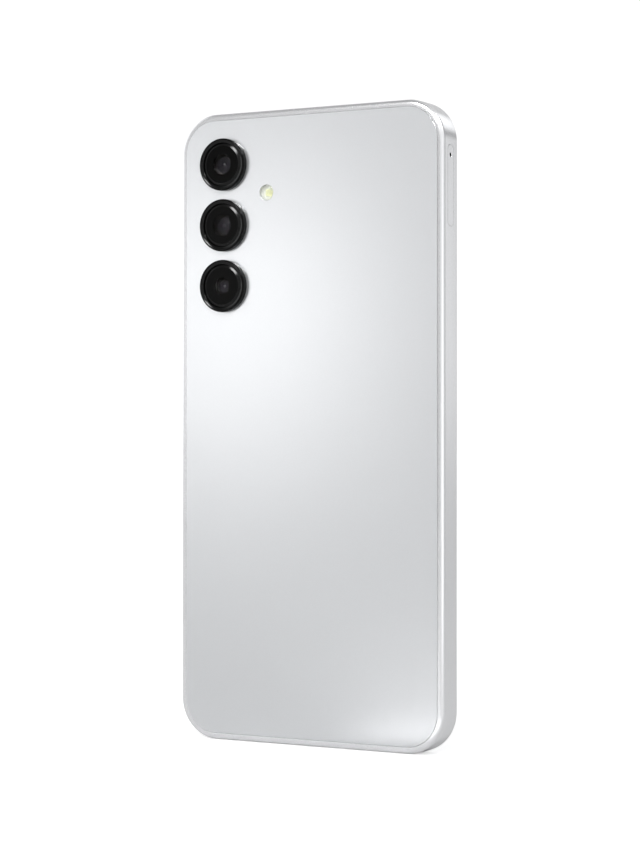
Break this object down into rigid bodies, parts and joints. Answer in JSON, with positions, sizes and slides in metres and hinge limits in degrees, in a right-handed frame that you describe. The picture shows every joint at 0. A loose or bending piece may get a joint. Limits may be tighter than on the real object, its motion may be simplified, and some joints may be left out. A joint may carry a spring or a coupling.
{
  "type": "smartphone",
  "caption": "Slim bar-shaped smartphone with a flat display, a flat glossy rear cover, a column of round rear cameras, side keys and a slide-out card tray.",
  "frame": {"origin": "middle of the phone's bottom edge, half way through its thickness", "axes": "+Z to the top of the phone, the display faces -Y and the cameras +Y, the keys are on the +X side and the card tray on the -X side"},
  "size_m": [0.0784, 0.0095, 0.1644],
  "materials": {
    "frame_paint": "satin silver-grey metallic paint on moulded plastic",
    "cover_gloss": "glossy pale silver-grey moulded sheet",
    "screen_glass": "clear glass over a black border and an unlit display",
    "lens_glass": "dark tinted, coated camera window",
    "ring_gloss": "deep gloss black",
    "black_plastic": "fine matt moulding",
    "clear_lens": "clear moulded light lens",
    "phosphor": "yellow phosphor over the light chips",
    "plate_metal": "stamped sheet",
    "shield_metal": "tinned steel sheet",
    "steel": "bright steel",
    "brass": "dense heavy alloy, dull gold",
    "board_green": "green solder mask",
    "flex_amber": "amber polyimide film over copper",
    "battery_wrap": "black laminated pouch with folded sides",
    "copper_foil": "copper heat-spreading foil on foam",
    "black_tape": "thin foam tape",
    "seal_rubber": "soft grey silicone",
    "silicon": "dark polished chip and panel surface",
    "card_white": "white laminated card"
  },
  "bodies": {
    "phone": {"side_frame": "frame_paint", "rear_cover": "cover_gloss", "rear_cover_tape": "black_tape", "mid_plate": "plate_metal", "display_glass": "screen_glass", "display_tape": "black_tape", "display_panel": "silicon", "display_cushion": "copper_foil", "display_cable": "flex_amber", "camera_ring_top": "ring_gloss", "camera_ring_middle": "ring_gloss", "camera_ring_bottom": "ring_gloss", "lens_window_top": "lens_glass", "lens_window_middle": "lens_glass", "lens_window_bottom": "lens_glass", "wide_camera": "black_plastic", "main_camera_housing": "black_plastic", "macro_camera": "black_plastic", "front_camera": "black_plastic", "flash_window": "clear_lens", "flash_led": "phosphor", "earpiece_receiver": "steel", "earpiece_mesh": "black_plastic", "loudspeaker_box": "black_plastic", "loudspeaker_mesh": "steel", "top_microphone": "shield_metal", "bottom_microphone": "shield_metal", "vibration_motor_case": "steel", "vibration_motor_base": "steel", "battery": "battery_wrap", "battery_cable": "flex_amber", "main_board": "board_green", "main_shield": "shield_metal", "radio_shield": "shield_metal", "processor": "silicon", "sub_board": "board_green", "board_link_cable": "flex_amber", "antenna_coax": "black_plastic", "upper_bracket": "black_plastic", "nfc_coil": "black_tape", "usb_c_shell": "steel", "usb_c_tongue": "black_plastic", "sim_reader": "shield_metal", "key_cable": "flex_amber", "screw_upper_left": "steel", "screw_upper_right": "steel", "screw_lower_left": "steel", "screw_lower_middle": "steel", "screw_speaker": "steel"},
    "volume_key": {"volume_key": "frame_paint"},
    "power_key": {"power_key": "frame_paint", "fingerprint_sensor": "frame_paint"},
    "card_tray": {"sim_tray": "frame_paint", "sim_tray_seal": "seal_rubber", "nano_sim_card": "card_white", "memory_card": "black_plastic"},
    "eject_rod": {"eject_rod": "steel"},
    "eject_lever": {"eject_lever": "steel"},
    "motor_weight": {"vibration_weight": "brass"},
    "main_lens": {"main_lens_barrel": "black_plastic"}
  },
  "joints": [
    {"name": "volume_key_rock", "type": "hinge", "parent": "phone", "child": "volume_key", "pos_m": [0.0365, 0, 0.1255], "axis": [0, 1, 0], "range_deg": [-1.8, 1.8], "stiffness_Nm_per_rad": 0.3},
    {"name": "power_key_press", "type": "slide", "parent": "phone", "child": "power_key", "axis": [-1, 0, 0], "range_m": [0, 0.0002], "stiffness_N_per_m": 4000},
    {"name": "card_tray_slide", "type": "slide", "parent": "phone", "child": "card_tray", "axis": [-1, 0, 0], "range_m": [0, 0.027]},
    {"name": "eject_rod_push", "type": "slide", "parent": "phone", "child": "eject_rod", "axis": [1, 0, 0], "range_m": [0, 0.0009]},
    {"name": "eject_lever_swing", "type": "hinge", "parent": "phone", "child": "eject_lever", "pos_m": [-0.0109, 0, 0.1435], "axis": [0, 1, 0], "range_deg": [0, 7.75]},
    {"name": "motor_weight_spin", "type": "hinge", "parent": "phone", "child": "motor_weight", "pos_m": [-0.026, 0, 0.0115], "axis": [0, 1, 0], "continuous": true},
    {"name": "main_lens_focus", "type": "slide", "parent": "phone", "child": "main_lens", "axis": [0, 1, 0], "range_m": [0, 0.0003], "stiffness_N_per_m": 60}
  ],
  "couplings": [
    {"joint": "eject_lever_swing", "follows": "eject_rod_push", "rad_per_m": 149}
  ]
}
